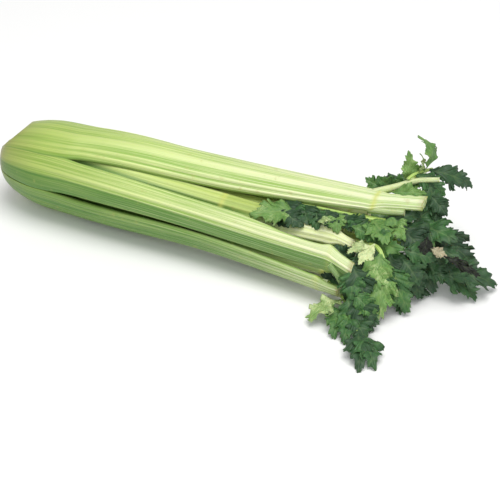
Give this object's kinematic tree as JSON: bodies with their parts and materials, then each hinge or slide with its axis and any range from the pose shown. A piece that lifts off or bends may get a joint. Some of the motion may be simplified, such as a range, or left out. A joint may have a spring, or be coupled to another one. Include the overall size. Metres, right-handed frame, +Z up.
{
  "type": "head of celery",
  "caption": "Trimmed head of celery lying on its side: ribbed crescent stalks on one cut butt, with cut joints and lobed leaf sprays at the other end.",
  "frame": {"origin": "middle of the footprint's bounding box, on the surface that the head lies on", "axes": "+X from the cut butt to the leaves, +Z up"},
  "size_m": [0.4072, 0.21, 0.0961],
  "materials": {
    "stalk": "smooth moist skin with fine lengthwise ribs, lime green fading to pale at the joint",
    "inner_stalk": "smooth moist skin, pale yellow-green",
    "heart_stalk": "smooth moist skin, cream to pale yellow-green",
    "butt": "dry cut flesh, cream with browned edge",
    "leaf": "soft satin leaf, dark green above and paler below, with lighter veins"
  },
  "bodies": {
    "root": {"stalk_top": "stalk", "stalk_front": "stalk", "stalk_low": "stalk", "stalk_under": "stalk", "stalk_back_low": "stalk", "stalk_back": "stalk", "inner_front": "inner_stalk", "inner_low": "inner_stalk", "inner_under": "inner_stalk", "inner_back": "inner_stalk", "inner_top": "inner_stalk", "heart_top": "heart_stalk", "heart_low": "heart_stalk", "heart_back": "heart_stalk", "butt": "butt", "spray_top": "leaf", "spray_back": "leaf", "spray_back_low": "leaf", "spray_gap": "leaf", "spray_heart": "leaf", "spray_front": "leaf", "spray_low": "leaf", "spray_under": "leaf"}
  },
  "joints": []
}
